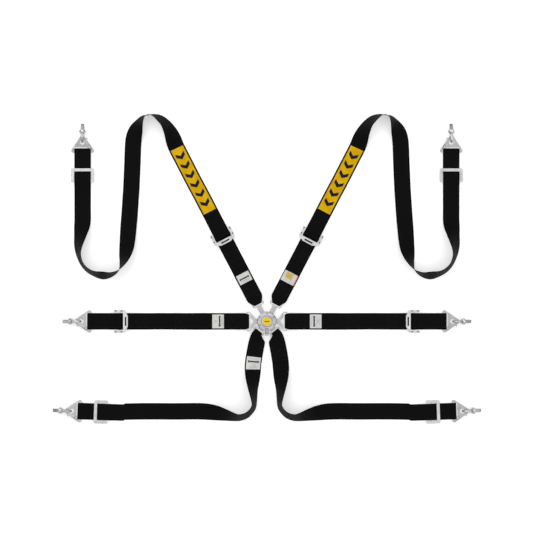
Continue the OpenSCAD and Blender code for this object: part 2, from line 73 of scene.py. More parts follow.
# Eyebolt, gate rivet, and the top faces and screws that details sit on
EYE_S, EYE_R, EYE_WIRE, EYE_DROOP = 31.9, 11.5, 4.2, 13.0
EYE_Z = EYE_R + EYE_WIRE + 0.25
SHANK_LEN, THREAD_PITCH = 18.5, 1.27
RIVET_S, RIVET_T = 12.5, 21.0
GATE_TOP = HOOK_T / 2 + 0.15 + 1.5
ADJUSTER_TOP, LEVER_TOP = 13.0, 22.1
SCREW_DIRS, SCREW_AT = (31, 90, 149, 206, 334), 25.0

# Routes of the left side's straps, as in the CAD model: x, y and roll in degrees
SHOULDER_ROUTE = [
    (-166, 319, 0), (-222, 426, 0), (-270, 518, 0), (-280, 538, 0), (-284, 547, 3), (-297, 583, 34),
    (-313, 611, 54), (-331, 628, 64), (-351, 638, 80), (-368, 638, 88), (-383, 632, 75),
    (-395, 615, 56), (-407, 588, 24), (-414, 555, 5), (-417, 485, 0), (-421, 400, 0),
    (-428, 308, 4), (-433, 240, 20), (-439, 207, 40), (-447, 180, 66), (-459, 158, 90),
    (-481, 145, 106), (-507, 142, 118), (-535, 148, 109), (-556, 160, 106), (-572, 179, 105),
    (-582, 207, 111), (-583, 235, 125), (-577, 270, 145), (-571, 308, 176), (-571, 350, 180),
    (-571, 378, 180),
]
CROTCH_ROUTE = [
    (-38, -98, 0), (-42, -128, 0), (-43, -165, -22), (-42, -209, -54), (-39, -250, -72),
    (-42, -267, -72), (-52, -281, -70), (-67, -292, -66), (-86, -297, -63), (-104, -295, -56),
    (-134, -288, -38), (-165, -282, -18), (-200, -279, -4), (-260, -279, 0), (-340, -279, 0),
    (-440, -280, 0),
]
CROTCH_FAN = [(-27.7, -34.2, 231, 27), (-29, -44, 240, 40), (-28.8, -56, 251, 50),
              (-32.4, -70, 256, 51), (-37.8, -98, 261, 51)]


# ------------------------------------------------------------------ strap stations
def polar(direction, r):
    return (r * math.cos(math.radians(direction)), r * math.sin(math.radians(direction)))


def heading(h):
    return Vector((*polar(h, 1), 0))


def heading_side(h):
    return Vector((-math.sin(math.radians(h)), math.cos(math.radians(h)), 0))


def arc(s, z, r, start, end, steps=14, width=WEB_W):
    angles = [math.radians(start + (end - start) * i / steps) for i in range(steps + 1)]
    return [(s + r * math.cos(a), z + r * math.sin(a), width) for a in angles]


def soften(points, rounds=2):
    """Cuts the corners of a list of equal-length tuples, and keeps its ends."""
    for _ in range(rounds):
        out = [points[0]]
        for a, b in zip(points, points[1:]):
            out.append(tuple(0.75 * p + 0.25 * q for p, q in zip(a, b)))
            out.append(tuple(0.25 * p + 0.75 * q for p, q in zip(a, b)))
        points = out + [points[-1]]
    return points


def run(origin, h, profile, turn=1):
    """Stations (centre, width direction, width) in the upright plane along heading h."""
    full = [(q[0], q[1], q[2] if len(q) > 2 else WEB_W) for q in profile]
    return [(Vector((*origin, 0)) + heading(h) * s + Vector((0, 0, z)), turn * heading_side(h), w)
            for s, z, w in soften(full)]


def catmull(a, b, c, d, t):
    return 0.5 * (2 * b + (c - a) * t + (2 * a - 5 * b + 4 * c - d) * t * t
                  + (3 * b - a - 3 * c + d) * t * t * t)


def route_stations(route, steps=8):
    n, path = len(route), []
    for i in range(n - 1):
        quad = [route[max(i - 1, 0)], route[i], route[i + 1], route[min(i + 2, n - 1)]]
        for j in range(steps):
            path.append([catmull(*(q[k] for q in quad), j / steps) for k in range(3)])
    path.append(list(route[-1]))
    stations = []
    for i, (x, y, roll) in enumerate(path):
        a, b = path[max(i - 1, 0)], path[min(i + 1, len(path) - 1)]
        side = Vector((a[1] - b[1], b[0] - a[0], 0)).normalized()
        lean = math.radians(roll)
        z = WEB_W / 2 * abs(math.sin(lean)) + WEB_T / 2 * abs(math.cos(lean)) + 0.1
        stations.append((Vector((x, y, z)), math.cos(lean) * side + Vector((0, 0, math.sin(lean))), WEB_W))
    return stations


def tongue_loop(end, tail, end_w):
    mid_w = min(end_w + 13, WEB_W)
    return ([(tail, LIE2), (end + 60, LIE2 + 0.1), (end + 32, 7.4), (end + 22, 10.6),
             (end + 12, TONGUE_MID + LOOP_R, mid_w)]
            + arc(end + 4.1, TONGUE_MID, LOOP_R, 90, 270, width=end_w)
            + [(end + 12, TONGUE_MID - LOOP_R, mid_w), (end + 22, 5.4), (end + 32, 3.2), (end + 55, LIE)])


def fixed_loop(bar):
    return ([(bar - 90, LIE), (bar - 70, LIE2), (bar - 48, 2.9), (bar - 24, 8)]
            + [(s + 0.9 * (s - bar - FIXED_S), z, w)
               for s, z, w in arc(bar + FIXED_S, FIXED_Z, FIXED_WRAP, 90, -90)]
            + [(bar - 24, 1.2), (bar - 34, LIE), (bar - 62, LIE)])


def knurl_loop(bar):
    return ([(bar + 36, LIE), (bar + 18, 1.6), (bar + 6, KNURL_Z - KNURL_WRAP)]
            + arc(bar, KNURL_Z, KNURL_WRAP, 270, 90)
            + [(bar + 5, KNURL_Z + KNURL_WRAP - 0.1), (bar + 8, 12), (bar + 12.5, 7.6), (bar + 17, 6.4),
               (bar + 24, 6.3), (bar + 32, 4), (bar + 42, 2.4)])


def slide_out(s0):
    return [(s0 + s, z) for s, z in (
        (-48, LIE), (-20, 2.6), (-6, 6.6), (-1, 8), (9, 8.1), (14, 9), (18, 10.4), (24.5, 10.5),
        (27.2, 9), (29.6, 5), (32.4, 3.3), (36, 3.2), (43, 3.2))]


def slide_back(s0):
    return [(s0 + s, z) for s, z in (
        (43, 1), (32, 1), (29, 3), (26.6, 6.4), (24.2, 8.1), (17, 8.1), (14.4, 6.6), (12, 3.6),
        (9.4, 2.5), (4, 2.4), (-11, 1.7))]


def on_plate(u, v):
    c, s = math.cos(math.radians(HOOK_TILT)), math.sin(math.radians(HOOK_TILT))
    return (HOOK_ORIGIN + u * c - v * s, HOOK_Z + u * s + v * c)


def hook_loop():
    turn = [math.radians(a) for a in range(90, -91, -15)]
    return ([on_plate(-9, HOOK_WRAP)]
            + [on_plate(4.2 + HOOK_WRAP * math.cos(a), HOOK_WRAP * math.sin(a)) for a in turn]
            + [on_plate(-4, -HOOK_WRAP), (-14.5, LIE + 0.05)])


def chest_stations():
    return run((0, 0), SHOULDER_DIR, tongue_loop(SHOULDER_END, 174, 27) + fixed_loop(SHOULDER_BAR))


def lap_stations():
    return run((0, 0), LAP_DIR, tongue_loop(LAP_END, 291, 44) + fixed_loop(LAP_BAR))


def shoulder_stations():
    return (run((0, 0), SHOULDER_DIR, knurl_loop(SHOULDER_BAR)) + route_stations(SHOULDER_ROUTE)
            + run(*SHOULDER_HOOK, slide_out(SHOULDER_SLIDE) + hook_loop() + slide_back(SHOULDER_SLIDE), -1))


def lap_anchor_stations():
    far = -LAP_HOOK[0][0]
    tail = [(s + far, z) for s, z in [(-40, 2.7)] + hook_loop() + [(-50, LIE)]]
    return run((0, 0), LAP_DIR, knurl_loop(LAP_BAR) + tail)


def crotch_stations():
    fan = [(Vector((x, y, 0)), heading_side(h), w) for x, y, h, w in CROTCH_FAN]

    def lifted(rows, heights):
        return [(p + Vector((0, 0, z)), side, w) for (p, side, w), z in zip(rows, heights)]

    top = ([(Vector((-42, -126, 3.4)), heading_side(266), WEB_W)]
           + lifted(fan[::-1], (3.9, 6.4, 9.5, 12, TONGUE_MID + LOOP_R)))
    bar = run((0, 0), CROTCH_DIR, arc(CROTCH_END + 4.1, TONGUE_MID, LOOP_R, 90, 270, width=27))
    under = lifted(fan[:4], (TONGUE_MID - LOOP_R, 6.2, 3.8, 1.8))
    ends = run(*CROTCH_HOOK, slide_out(CROTCH_SLIDE) + hook_loop() + slide_back(CROTCH_SLIDE))
    return soften_stations(top) + bar + soften_stations(under) + route_stations(CROTCH_ROUTE) + ends


def soften_stations(stations):
    flat = [tuple(p) + tuple(side) + (w,) for p, side, w in stations]
    return [(Vector(q[0:3]), Vector(q[3:6]).normalized(), q[6]) for q in soften(flat)]


def resample(stations, step):
    """Adds stations so that none are further apart than step."""
    out = [stations[0]]
    for (p0, s0, w0), (p1, s1, w1) in zip(stations, stations[1:]):
        gap = (p1 - p0).length
        if gap < 0.05:
            continue
        n = max(1, math.ceil(gap / step))
        for i in range(1, n + 1):
            t = i / n
            out.append((p0.lerp(p1, t), s0.lerp(s1, t).normalized(), w0 + (w1 - w0) * t))
    return out


# Where the webbing is held, and how far round it lies still
HARDWARE = [((0, 0), 110.0), (polar(SHOULDER_DIR, SHOULDER_BAR), 50.0), (polar(LAP_DIR, LAP_BAR), 50.0),
            (SHOULDER_HOOK[0], 160.0), (LAP_HOOK[0], 60.0), (CROTCH_HOOK[0], 150.0)]


def freedom(p):
    """0 beside the hardware, 1 where the webbing lies free."""
    return min(min(max((math.hypot(p.x - x, p.y - y) - r) / 50, 0), 1) for (x, y), r in HARDWARE)


def relaxed(stations, seed):
    """Small waves, as webbing that has been folded lies."""
    out, along = [], 0.0
    last = stations[0][0]
    for p, side, w in stations:
        along += (p - last).length
        last = p
        free = freedom(p)
        flat = 1 - min(abs(side.z) * 3, 1)
        sway = noise.noise(Vector((along / 95, seed, 0.3)))
        lift = abs(noise.noise(Vector((along / 60, seed, 7.1))))
        tilt = noise.noise(Vector((along / 75, seed, 3.7)))
        raise_by = free * flat * (1.6 * lift + abs(tilt) * 0.5)
        lean = Vector((0, 0, 1)) * (0.035 * tilt * free * flat)
        out.append((p + side * (1.1 * sway * free) + Vector((0, 0, raise_by)), (side + lean).normalized(), w))
    return out


# ------------------------------------------------------------------ mesh helpers
def new_object(name, data, material=None):
    piece = bpy.data.objects.new(name, data)
    bpy.context.scene.collection.objects.link(piece)
    if material is not None:
        data.materials.append(material)
    return piece


def mirrored(mesh, side):
    """A copy of the left side's mesh, which the right side shows as its mirror image."""
    mesh = mesh.copy()
    if side == "right":
        mesh.transform(Matrix.Diagonal((-1, 1, 1, 1)))
        mesh.flip_normals()
    return mesh


def moved(mesh, matrix):
    mesh = mesh.copy()
    mesh.transform(matrix)
    return mesh


def smooth_by_angle(mesh, degrees):
    mesh.shade_smooth()
    mesh.set_sharp_from_angle(angle=math.radians(degrees))


def band_mesh(name, stations, thickness, width=None):
    """A band swept through the stations, with thinner rounded edges and a UV map in metres."""
    across, edge = 8, 0.55
    steps = [i / across * 2 - 1 for i in range(across + 1)]
    steps = steps[:1] + [-0.975] + steps[1:-1] + [0.975] + steps[-1:]
    verts, us, along = [], [], 0.0
    for i, (p, side, w) in enumerate(stations):
        way = stations[min(i + 1, len(stations) - 1)][0] - stations[max(i - 1, 0)][0]
        up = way.cross(side).normalized()
        if i:
            along += (p - stations[i - 1][0]).length
        us.append(along * MM)
        half = (width or w) / 2
        for face in (1, -1):
            for t in (steps if face > 0 else steps[::-1]):
                thick = thickness / 2 * (edge if abs(t) > 0.98 else 1.0)
                verts.append((p + side * (t * half) + up * (face * thick)) * MM)
    ring = 2 * len(steps)
    faces, uvs = [], []
    across_at = [t * WEB_W / 2 * MM if width is None else t * width / 2 * MM
                 for t in steps + steps[::-1]]
    for i in range(len(stations) - 1):
        for j in range(ring):
            k = (j + 1) % ring
            faces.append((i * ring + j, i * ring + k, (i + 1) * ring + k, (i + 1) * ring + j))
            uvs += [(us[i], across_at[j]), (us[i], across_at[k]),
                    (us[i + 1], across_at[k]), (us[i + 1], across_at[j])]
    for end, order in ((0, 1), (len(stations) - 1, -1)):
        n = len(steps)
        for j in range(n - 1):
            quad = (end * ring + j, end * ring + ring - 1 - j, end * ring + ring - 2 - j, end * ring + j + 1)
            faces.append(quad[::order])
            uvs += [(us[end], across_at[q - end * ring]) for q in quad[::order]]
    mesh = bpy.data.meshes.new(name)
    mesh.from_pydata(verts, [], faces)
    layer = mesh.uv_layers.new(name="cloth")
    for loop, uv in zip(layer.data, uvs):
        loop.uv = uv
    smooth_by_angle(mesh, 50)
    return mesh


def from_bmesh(name, bm):
    mesh = bpy.data.meshes.new(name)
    bmesh.ops.recalc_face_normals(bm, faces=bm.faces)
    bm.to_mesh(mesh)
    bm.free()
    return mesh


def circle(n):
    return [2 * math.pi * i / n for i in range(n)]


def skin(bm, rings, closed=False):
    """Faces between rings of vertices; a ring of one is a point, and open ends are capped."""
    for a, b in zip(rings, rings[1:] + (rings[:1] if closed else [])):
        for i in range(max(len(a), len(b))):
            corners = (a[i % len(a)], a[(i + 1) % len(a)], b[(i + 1) % len(b)], b[i % len(b)])
            bm.faces.new(list(dict.fromkeys(corners)))
    for ring in () if closed else (rings[0][::-1], rings[-1]):
        if len(ring) > 1:
            bm.faces.new(ring)


def lathe(name, rows, segments=48, axis=0, closed=False, angle=None):
    """A solid turned round an axis, from rows of the distance along it and the radius. The radius may
    be a function of the angle, and 0 makes a point."""
    bm, rings = bmesh.new(), []
    for s, radius in rows:
        ring = []
        for a in circle(segments) if radius else [0]:
            r = radius(a) if callable(radius) else radius
            spot = [r * math.cos(a) * MM, r * math.sin(a) * MM]
            spot.insert(axis, s * MM)
            ring.append(bm.verts.new(spot))
        rings.append(ring)
    skin(bm, rings, closed)
    mesh = from_bmesh(name, bm)
    if angle:
        smooth_by_angle(mesh, angle)
    return mesh


def torus(name, radius, wire, segments, sides):
    """A ring in the XZ plane, centred on the origin."""
    bm, rings = bmesh.new(), []
    for a in circle(segments):
        out = [(radius + wire * math.cos(b), wire * math.sin(b)) for b in circle(sides)]
        rings.append([bm.verts.new((r * math.cos(a) * MM, y * MM, r * math.sin(a) * MM)) for r, y in out])
    skin(bm, rings, closed=True)
    return from_bmesh(name, bm)


def prism(name, outline, low, high, bevel):
    """An upright solid over a flat outline, millimetres."""
    bm = bmesh.new()
    skin(bm, [[bm.verts.new((x * MM, y * MM, z * MM)) for x, y in outline] for z in (low, high)])
    bmesh.ops.bevel(bm, geom=bm.edges[:], offset=bevel * MM, segments=2, affect="EDGES", profile=0.7)
    return from_bmesh(name, bm)


def joined(name, meshes):
    bm = bmesh.new()
    for mesh in meshes:
        bm.from_mesh(mesh)
    out = bpy.data.meshes.new(name)
    bm.to_mesh(out)
    bm.free()
    return out


def tube(name, points, radius, sides):
    """A round wire through points, millimetres."""
    bm, rings, normal = bmesh.new(), [], None
    points = [Vector(p) for p in points]
    for i, p in enumerate(points):
        way = (points[min(i + 1, len(points) - 1)] - points[max(i - 1, 0)]).normalized()
        if normal is None:
            normal = way.orthogonal().normalized()
        normal = (normal - way * normal.dot(way)).normalized()
        other = way.cross(normal)
        rings.append([bm.verts.new((p + (normal * math.cos(a) + other * math.sin(a)) * radius) * MM)
                      for a in circle(sides)])
    skin(bm, rings)
    return from_bmesh(name, bm)


def rounded_loop(x0, x1, y0, y1, z, radius, steps=5):
    """A closed path round a rectangle with round corners, from the middle of its right side."""
    loop = [(x1, (y0 + y1) / 2, z)]
    for k, (x, y) in enumerate(((x1 - radius, y1 - radius), (x0 + radius, y1 - radius),
                                (x0 + radius, y0 + radius), (x1 - radius, y0 + radius))):
        loop += [(x + radius * math.cos(a), y + radius * math.sin(a), z)
                 for a in (math.pi / 2 * (k + i / steps) for i in range(steps + 1))]
    return loop + loop[:1]


# ------------------------------------------------------------------ materials
class Shader:
    """A material with its principled shader, and short ways to add nodes."""

    def __init__(self, name):
        self.material = bpy.data.materials.new(name)
        self.material.use_nodes = True
        self.tree = self.material.node_tree
        self.bsdf = self.tree.nodes["Principled BSDF"]

    def set(self, **values):
        for key, value in values.items():
            self.bsdf.inputs[key.replace("_", " ")].default_value = value
        return self

    def node(self, kind, inputs=None, **settings):
        made = self.tree.nodes.new("ShaderNode" + kind)
        for key, value in settings.items():
            setattr(made, key, value)
        for key, value in (inputs or {}).items():
            self.feed(made.inputs[key], value)
        return made

    def feed(self, socket, value):
        if isinstance(value, bpy.types.NodeSocket):
            self.tree.links.new(value, socket)
        else:
            socket.default_value = value

    def math(self, operation, a, b=0.0):
        return self.node("Math", {0: a, 1: b}, operation=operation).outputs[0]

    def mul(self, a, b):
        return self.math("MULTIPLY", a, b)

    def add(self, a, b):
        return self.math("ADD", a, b)

    def wave(self, along, pitch):
        """A sine that repeats every pitch, in metres."""
        return self.math("SINE", self.mul(along, 2 * math.pi / pitch))

    def ramp(self, value, low, high, out_low=0.0, out_high=1.0):
        made = self.node("MapRange", {"Value": value, "From Min": low, "From Max": high,
                                      "To Min": out_low, "To Max": out_high},
                         interpolation_type="SMOOTHSTEP")
        return made.outputs["Result"]

    def mix(self, factor, a, b):
        made = self.node("Mix", {"Factor": factor}, data_type="RGBA")
        self.feed(made.inputs["A"], a)
        self.feed(made.inputs["B"], b)
        return made.outputs["Result"]

    def noise(self, vector, scale, detail=3.0, roughness=0.5):
        return self.node("TexNoise", {"Vector": vector, "Scale": scale, "Detail": detail,
                                      "Roughness": roughness}).outputs["Fac"]

    def coords(self):
        return self.node("TexCoord").outputs["Object"]

    def uv(self):
        both = self.node("SeparateXYZ", {"Vector": self.node("UVMap", uv_map="cloth").outputs["UV"]})
        return both.outputs["X"], both.outputs["Y"]

    def bump(self, height, distance, strength=1.0):
        made = self.node("Bump", {"Height": height, "Distance": distance, "Strength": strength})
        self.feed(self.bsdf.inputs["Normal"], made.outputs["Normal"])

    def finish(self, color=None, roughness=None):
        if color is not None:
            self.feed(self.bsdf.inputs["Base Color"], color)
        if roughness is not None:
            self.feed(self.bsdf.inputs["Roughness"], roughness)
        return self.material


def rgb(r, g, b):
    return (r, g, b, 1.0)


def webbing_material():
    """Black polyester webbing: a fine twill between plain-woven edge bands."""
    s = Shader("webbing").set(Specular_IOR_Level=0.06, Sheen_Weight=0.012, Sheen_Roughness=0.4)
    u, v = s.uv()
    off = s.math("ABSOLUTE", v)
    edge = s.ramp(off, 0.0195, 0.0205)
    line = s.mul(s.ramp(off, 0.0186, 0.0192), s.ramp(off, 0.0204, 0.0198))
    twill = s.wave(s.add(u, s.mul(off, 1.4)), 0.0028)
    picks, ends = s.wave(u, 0.0012), s.wave(v, 0.0011)
    weave = s.add(s.mul(twill, 0.45), s.mul(picks, ends))
    flat_weave = s.mul(picks, 0.6)
    height = s.node("Mix", {"Factor": edge, "A": weave, "B": flat_weave}, data_type="FLOAT").outputs["Result"]
    fibre = s.noise(s.coords(), 900, 2)
    patches = s.noise(s.coords(), 28, 3)
    tone = s.add(s.mul(fibre, 0.5), s.mul(patches, 0.5))
    base = s.mix(s.ramp(tone, 0.3, 0.7), rgb(0.0006, 0.0006, 0.0009), rgb(0.0030, 0.0030, 0.0035))
    # Painted highlight: the weave's raised threads are coloured lighter than its hollows.
    weave_painted_highlight = s.mix(s.ramp(weave, -0.6, 1.1), base, rgb(0.0060, 0.0060, 0.0068))
    banded = s.mix(edge, weave_painted_highlight, rgb(0.0002, 0.0002, 0.0003))
    color = s.mix(s.mul(line, 0.5), banded, rgb(0.016, 0.016, 0.018))
    s.bump(height, 0.00018, 0.7)
    rough = s.add(s.ramp(patches, 0.3, 0.7, 0.50, 0.62), s.mul(fibre, 0.08))
    return s.finish(color, rough)


def metal_material(name, color, rough, grain=350.0, mottle=0.10):
    """Plated or cast metal with fine grain, tone variation, scuffs and rubbed edges, and painted shade on
    faces that turn to the side.
    """
    s = Shader(name).set(Metallic=1.0)
    where = s.coords()
    fine = s.noise(where, grain, 4, 0.6)
    tone = s.noise(where, 60, 3)
    streaks = s.noise(s.node("Mapping", {"Vector": where, "Rotation": (0.3, 0.2, 0.6),
                                         "Scale": (0.06, 1, 1)}).outputs["Vector"], 900, 2)
    scuff = s.mul(s.ramp(streaks, 0.62, 0.70), s.ramp(tone, 0.45, 0.6))
    dark = rgb(*(c * (1 - mottle * 1.6) for c in color))
    light = rgb(*(min(1, c * (1 + mottle)) for c in color))
    base = s.mix(s.ramp(tone, 0.3, 0.7), dark, light)
    grained = s.mix(s.mul(fine, 0.35), base, rgb(*(c * 0.8 for c in color)))
    edge = s.node("NewGeometry").outputs["Pointiness"]
    rubbed = s.mix(s.ramp(edge, 0.51, 0.60, 0.0, 0.55), grained, rgb(*(min(1, c * 1.25) for c in color)))
    scuffed = s.mix(s.mul(scuff, 0.25), rubbed, rgb(*(min(1, c * 1.35) for c in color)))
    # Painted shade: faces that turn to the side are darkened towards 0.45 of the metal's colour.
    facing = s.node("SeparateXYZ", {"Vector": s.node("NewGeometry").outputs["Normal"]}).outputs["Z"]
    sides = s.ramp(s.math("ABSOLUTE", facing), 0.25, 0.85, 0.7, 0.0)
    with_painted_side_shade = s.mix(sides, scuffed, rgb(*(c * 0.45 for c in color)))
    roughness = s.add(s.ramp(fine, 0.3, 0.7, rough - 0.05, rough + 0.07),
                       s.ramp(tone, 0.3, 0.7, -0.03, 0.05))
    s.bump(s.add(s.mul(fine, 0.6), s.mul(scuff, -0.4)), 0.00005, 0.6)
    return s.finish(with_painted_side_shade, roughness)


def patch_material():
    """Woven yellow label cloth: fine cross ribs and slightly uneven dye."""
    s = Shader("patch_yellow").set(Specular_IOR_Level=0.06)
    u, v = s.uv()
    ribs, ends = s.wave(u, 0.0011), s.wave(v, 0.0007)
    dye = s.noise(s.coords(), 45, 3)
    fibre = s.noise(s.coords(), 1100, 2)
    base = s.mix(s.ramp(dye, 0.3, 0.7), rgb(0.72, 0.40, 0.0), rgb(0.86, 0.52, 0.004))
    color = s.mix(s.mul(s.ramp(ribs, -1, 1), 0.18), base, rgb(0.60, 0.33, 0.0))
    s.bump(s.add(ribs, s.mul(ends, 0.5)), 0.00012, 0.6)
    return s.finish(color, s.ramp(fibre, 0.3, 0.7, 0.48, 0.6))


def cloth_material(name, dark, light, pitch=0.0008, rough=0.6):
    """A small woven piece: thread ribs both ways and a little fibre noise."""
    s = Shader(name).set(Specular_IOR_Level=0.12)
    where = s.coords()
    parts = s.node("SeparateXYZ", {"Vector": where}).outputs
    ribs = s.mul(s.wave(parts["X"], pitch), s.wave(parts["Y"], pitch))
    fibre = s.noise(where, 700, 3)
    soil = s.noise(where, 60, 2)
    tone = s.add(s.mul(fibre, 0.5), s.mul(soil, 0.5))
    s.bump(ribs, 0.0001, 0.5)
    return s.finish(s.mix(s.ramp(tone, 0.3, 0.7), rgb(*dark), rgb(*light)),
                    s.ramp(fibre, 0.3, 0.7, rough - 0.06, rough + 0.06))


def badge_material():
    """Yellow resin dome."""
    s = Shader("badge_yellow").set(Specular_IOR_Level=0.15, Coat_Weight=0.12, Coat_Roughness=0.15)
    where = s.coords()
    cloud = s.noise(where, 120, 3)
    dust = s.noise(where, 1500, 2)
    s.bump(s.noise(where, 260, 2), 0.00003, 0.4)
    color = s.mix(s.ramp(cloud, 0.3, 0.7), rgb(0.95, 0.60, 0.0), rgb(1.0, 0.68, 0.004))
    return s.finish(color, s.ramp(dust, 0.3, 0.7, 0.28, 0.42))


def floor_material():
    s = Shader("pale_floor").set(Specular_IOR_Level=0.1, Emission_Color=rgb(1.0, 1.0, 1.0),
                                 Emission_Strength=0.45)
    where = s.coords()
    color = s.mix(s.ramp(s.noise(where, 3, 4), 0.3, 0.7), rgb(0.80, 0.80, 0.80), rgb(0.82, 0.82, 0.82))
    return s.finish(color, s.ramp(s.noise(where, 40, 3), 0.3, 0.7, 0.75, 0.85))


WEBBING = webbing_material()
SATIN = metal_material("satin_steel", (0.53, 0.53, 0.54), 0.40)
CAST = metal_material("cast_alloy", (0.63, 0.63, 0.645), 0.46, grain=700, mottle=0.14)
LEVER = metal_material("lever_alloy", (0.62, 0.62, 0.63), 0.38, grain=500)
BRIGHT = metal_material("bright_plate", (0.68, 0.68, 0.69), 0.32, mottle=0.08)
KNURLED = metal_material("knurled_steel", (0.45, 0.45, 0.46), 0.38)
ZINC = metal_material("mottled_zinc", (0.72, 0.72, 0.73), 0.34, grain=260, mottle=0.30)
BARE = metal_material("bare_steel", (0.50, 0.50, 0.52), 0.34)
# Near-black steel for painted shade: the shadow of pressed slots on the adjusters' flanges and along the
# lever slot's edge.
PAINTED_SHADE_STEEL = metal_material("painted_shade_steel", (0.12, 0.12, 0.125), 0.5)
YELLOW = patch_material()
NAVY = cloth_material("navy_thread", (0.006, 0.007, 0.02), (0.012, 0.014, 0.035), 0.0006)
LABEL_WHITE = cloth_material("label_white", (0.66, 0.66, 0.65), (0.82, 0.82, 0.81))
LABEL_BLACK = cloth_material("label_black", (0.012, 0.012, 0.014), (0.03, 0.03, 0.034))
LABEL_GREY = cloth_material("label_grey", (0.33, 0.33, 0.34), (0.42, 0.42, 0.43))
LABEL_GOLD = cloth_material("label_gold", (0.60, 0.42, 0.10), (0.78, 0.58, 0.20))
LABEL_RED = cloth_material("label_red", (0.62, 0.06, 0.06), (0.74, 0.11, 0.10))
THREAD = cloth_material("black_thread", (0.010, 0.010, 0.012), (0.028, 0.028, 0.031), 0.0005)
BADGE = badge_material()
BADGE_INK = cloth_material("badge_ink", (0.02, 0.018, 0.012), (0.045, 0.04, 0.03), 0.0004, 0.4)
LABEL_BLUE = cloth_material("label_blue", (0.36, 0.56, 0.60), (0.48, 0.68, 0.72))
LABEL_THREAD = cloth_material("label_thread", (0.60, 0.60, 0.59), (0.76, 0.76, 0.75), 0.0005)
YELLOW_THREAD = cloth_material("yellow_thread", (0.74, 0.50, 0.08), (0.88, 0.64, 0.16), 0.0005)


# ------------------------------------------------------------------ stage
def make_stage():
    mesh = bpy.data.meshes.new("floor")
    half, low = 8.0, -0.0004
    mesh.from_pydata([(-half, -half, low), (half, -half, low), (half, half, low), (-half, half, low)],
                     [], [(0, 1, 2, 3)])
    floor = new_object("floor", mesh, floor_material())
    world = bpy.data.worlds.new("studio")
    bpy.context.scene.world = world
    world.use_nodes = True
    # A bright tent overhead that darkens towards the sides, so that metal edges read
    tree = world.node_tree
    coords = tree.nodes.new("ShaderNodeTexCoord")
    split = tree.nodes.new("ShaderNodeSeparateXYZ")
    fade = tree.nodes.new("ShaderNodeMapRange")
    fade.interpolation_type = "SMOOTHSTEP"
    for socket, value in (("From Min", 0.25), ("From Max", 0.9), ("To Min", 0.22), ("To Max", 0.92)):
        fade.inputs[socket].default_value = value
    tree.links.new(coords.outputs["Generated"], split.inputs["Vector"])
    tree.links.new(split.outputs["Z"], fade.inputs["Value"])
    tree.links.new(fade.outputs["Result"], tree.nodes["Background"].inputs["Strength"])
    tree.nodes["Background"].inputs["Color"].default_value = rgb(1.0, 1.0, 1.0)
    bpy.context.scene.view_settings.view_transform = "Standard"


def soft_light(name, place, aim, size, power):
    lamp = bpy.data.lights.new(name, "AREA")
    lamp.size = size
    lamp.energy = power
    piece = new_object(name, lamp)
    piece.location = place
    piece.rotation_euler = (Vector(aim) - Vector(place)).to_track_quat("-Z", "Y").to_euler()
    piece.visible_camera = False


def make_camera():
    """Straight above the harness, far off, so that it looks as flat as the photograph."""
    across, height = 1.674, 7.0
    middle = (0.0096, 0.159)
    data = bpy.data.cameras.new("camera")
    data.sensor_width = 36.0
    data.lens = data.sensor_width * height / across
    data.clip_end = 50
    camera = new_object("camera", data)
    camera.location = (middle[0], middle[1], height)
    bpy.context.scene.camera = camera


# ------------------------------------------------------------------ pieces
def body_of_node(node):
    return next(b for b, nodes in frame["record"]["behaviour"]["bodies"].items() if node in nodes)


def stand_in(piece, node, material_slot):
    """The piece rides on the node's body and is shown in its place."""
    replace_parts(add_to(piece, node, material_slot), node)
    return piece


def add_to(piece, node, material_slot):
    """A further piece on the same body as a node."""
    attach(piece, body_of_node(node))
    return piece


STRAPS = {
    "chest_strap": chest_stations, "lap_strap": lap_stations, "shoulder_strap": shoulder_stations,
    "lap_anchor_strap": lap_anchor_stations, "crotch_strap": crotch_stations,
}
LAID = {}
SHEETS = {}


def strap_length(stations):
    return sum((b[0] - a[0]).length for a, b in zip(stations, stations[1:]))


def cloth_sheet(piece, width, length, rests_on):
    SHEETS[piece.name] = {"piece": piece, "flat": (width * MM, length * MM), "on": rests_on, "sewn": []}


def make_straps():
    for i, (name, stations_of) in enumerate(STRAPS.items()):
        stations = relaxed(resample(stations_of(), 3.5), 3.1 * i)
        LAID[name] = stations
        band = band_mesh(name, stations, WEB_T)
        for side in SIDES:
            piece = new_object(f"{name}_{side}_webbing", mirrored(band, side), WEBBING)
            stand_in(piece, f"{name}_{side}", "webbing")
            cloth_sheet(piece, WEB_W, strap_length(stations), "floor")


def rectangle(s0, s1, t0, t1):
    return [(s0, t0), (s1, t0), (s1, t1), (s0, t1)]


# ------------------------------------------------------------------ hardware
def placed(at, direction):
    return Matrix.Translation((at[0] * MM, at[1] * MM, 0)) @ Matrix.Rotation(math.radians(direction), 4, "Z")


def at_mm(x, y, z):
    return Matrix.Translation((x * MM, y * MM, z * MM))


def turned(degrees, axis):
    return Matrix.Rotation(math.radians(degrees), 4, axis)


def on_hook(at, direction):
    return placed(at, direction) @ at_mm(HOOK_ORIGIN, 0, HOOK_Z) @ turned(-HOOK_TILT, "Y")


def both_sides(mesh, name, node, slot_name, material, place=stand_in, sides=SIDES):
    """The same piece on the left and, mirrored, on the right."""
    return [place(new_object(f"{name}_{side}", mirrored(mesh, side), material), f"{node}_{side}", slot_name)
            for side in sides]


